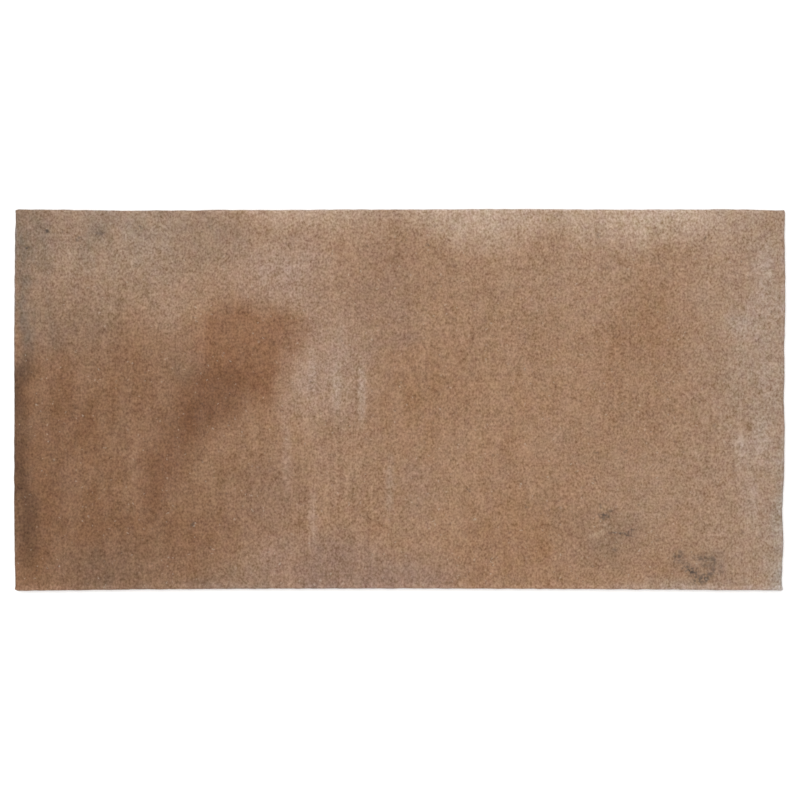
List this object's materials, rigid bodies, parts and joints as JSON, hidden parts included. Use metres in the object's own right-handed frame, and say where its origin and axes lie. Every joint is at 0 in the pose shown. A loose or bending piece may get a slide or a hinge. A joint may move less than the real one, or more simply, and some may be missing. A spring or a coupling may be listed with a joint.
{
  "type": "porcelain floor tile",
  "caption": "Oblong cotto-look porcelain tile with an uneven hand-moulded edge, a drafted foot below the parting line and a waffle of shallow adhesive pockets on the back.",
  "frame": {"origin": "middle of the back, in the plane of the rib tops that the tile lies on", "axes": "+X along the length, +Y across the width, +Z out of the face"},
  "size_m": [0.2987, 0.1478, 0.009],
  "materials": {
    "porcelain": "matt printed face with a fine grain, in clouded browns; bare fired pinkish-grey body on the lower sides and the back, with a pale kiln wash on the tops of the ribs"
  },
  "bodies": {
    "root": {"tile": "porcelain"}
  },
  "joints": []
}
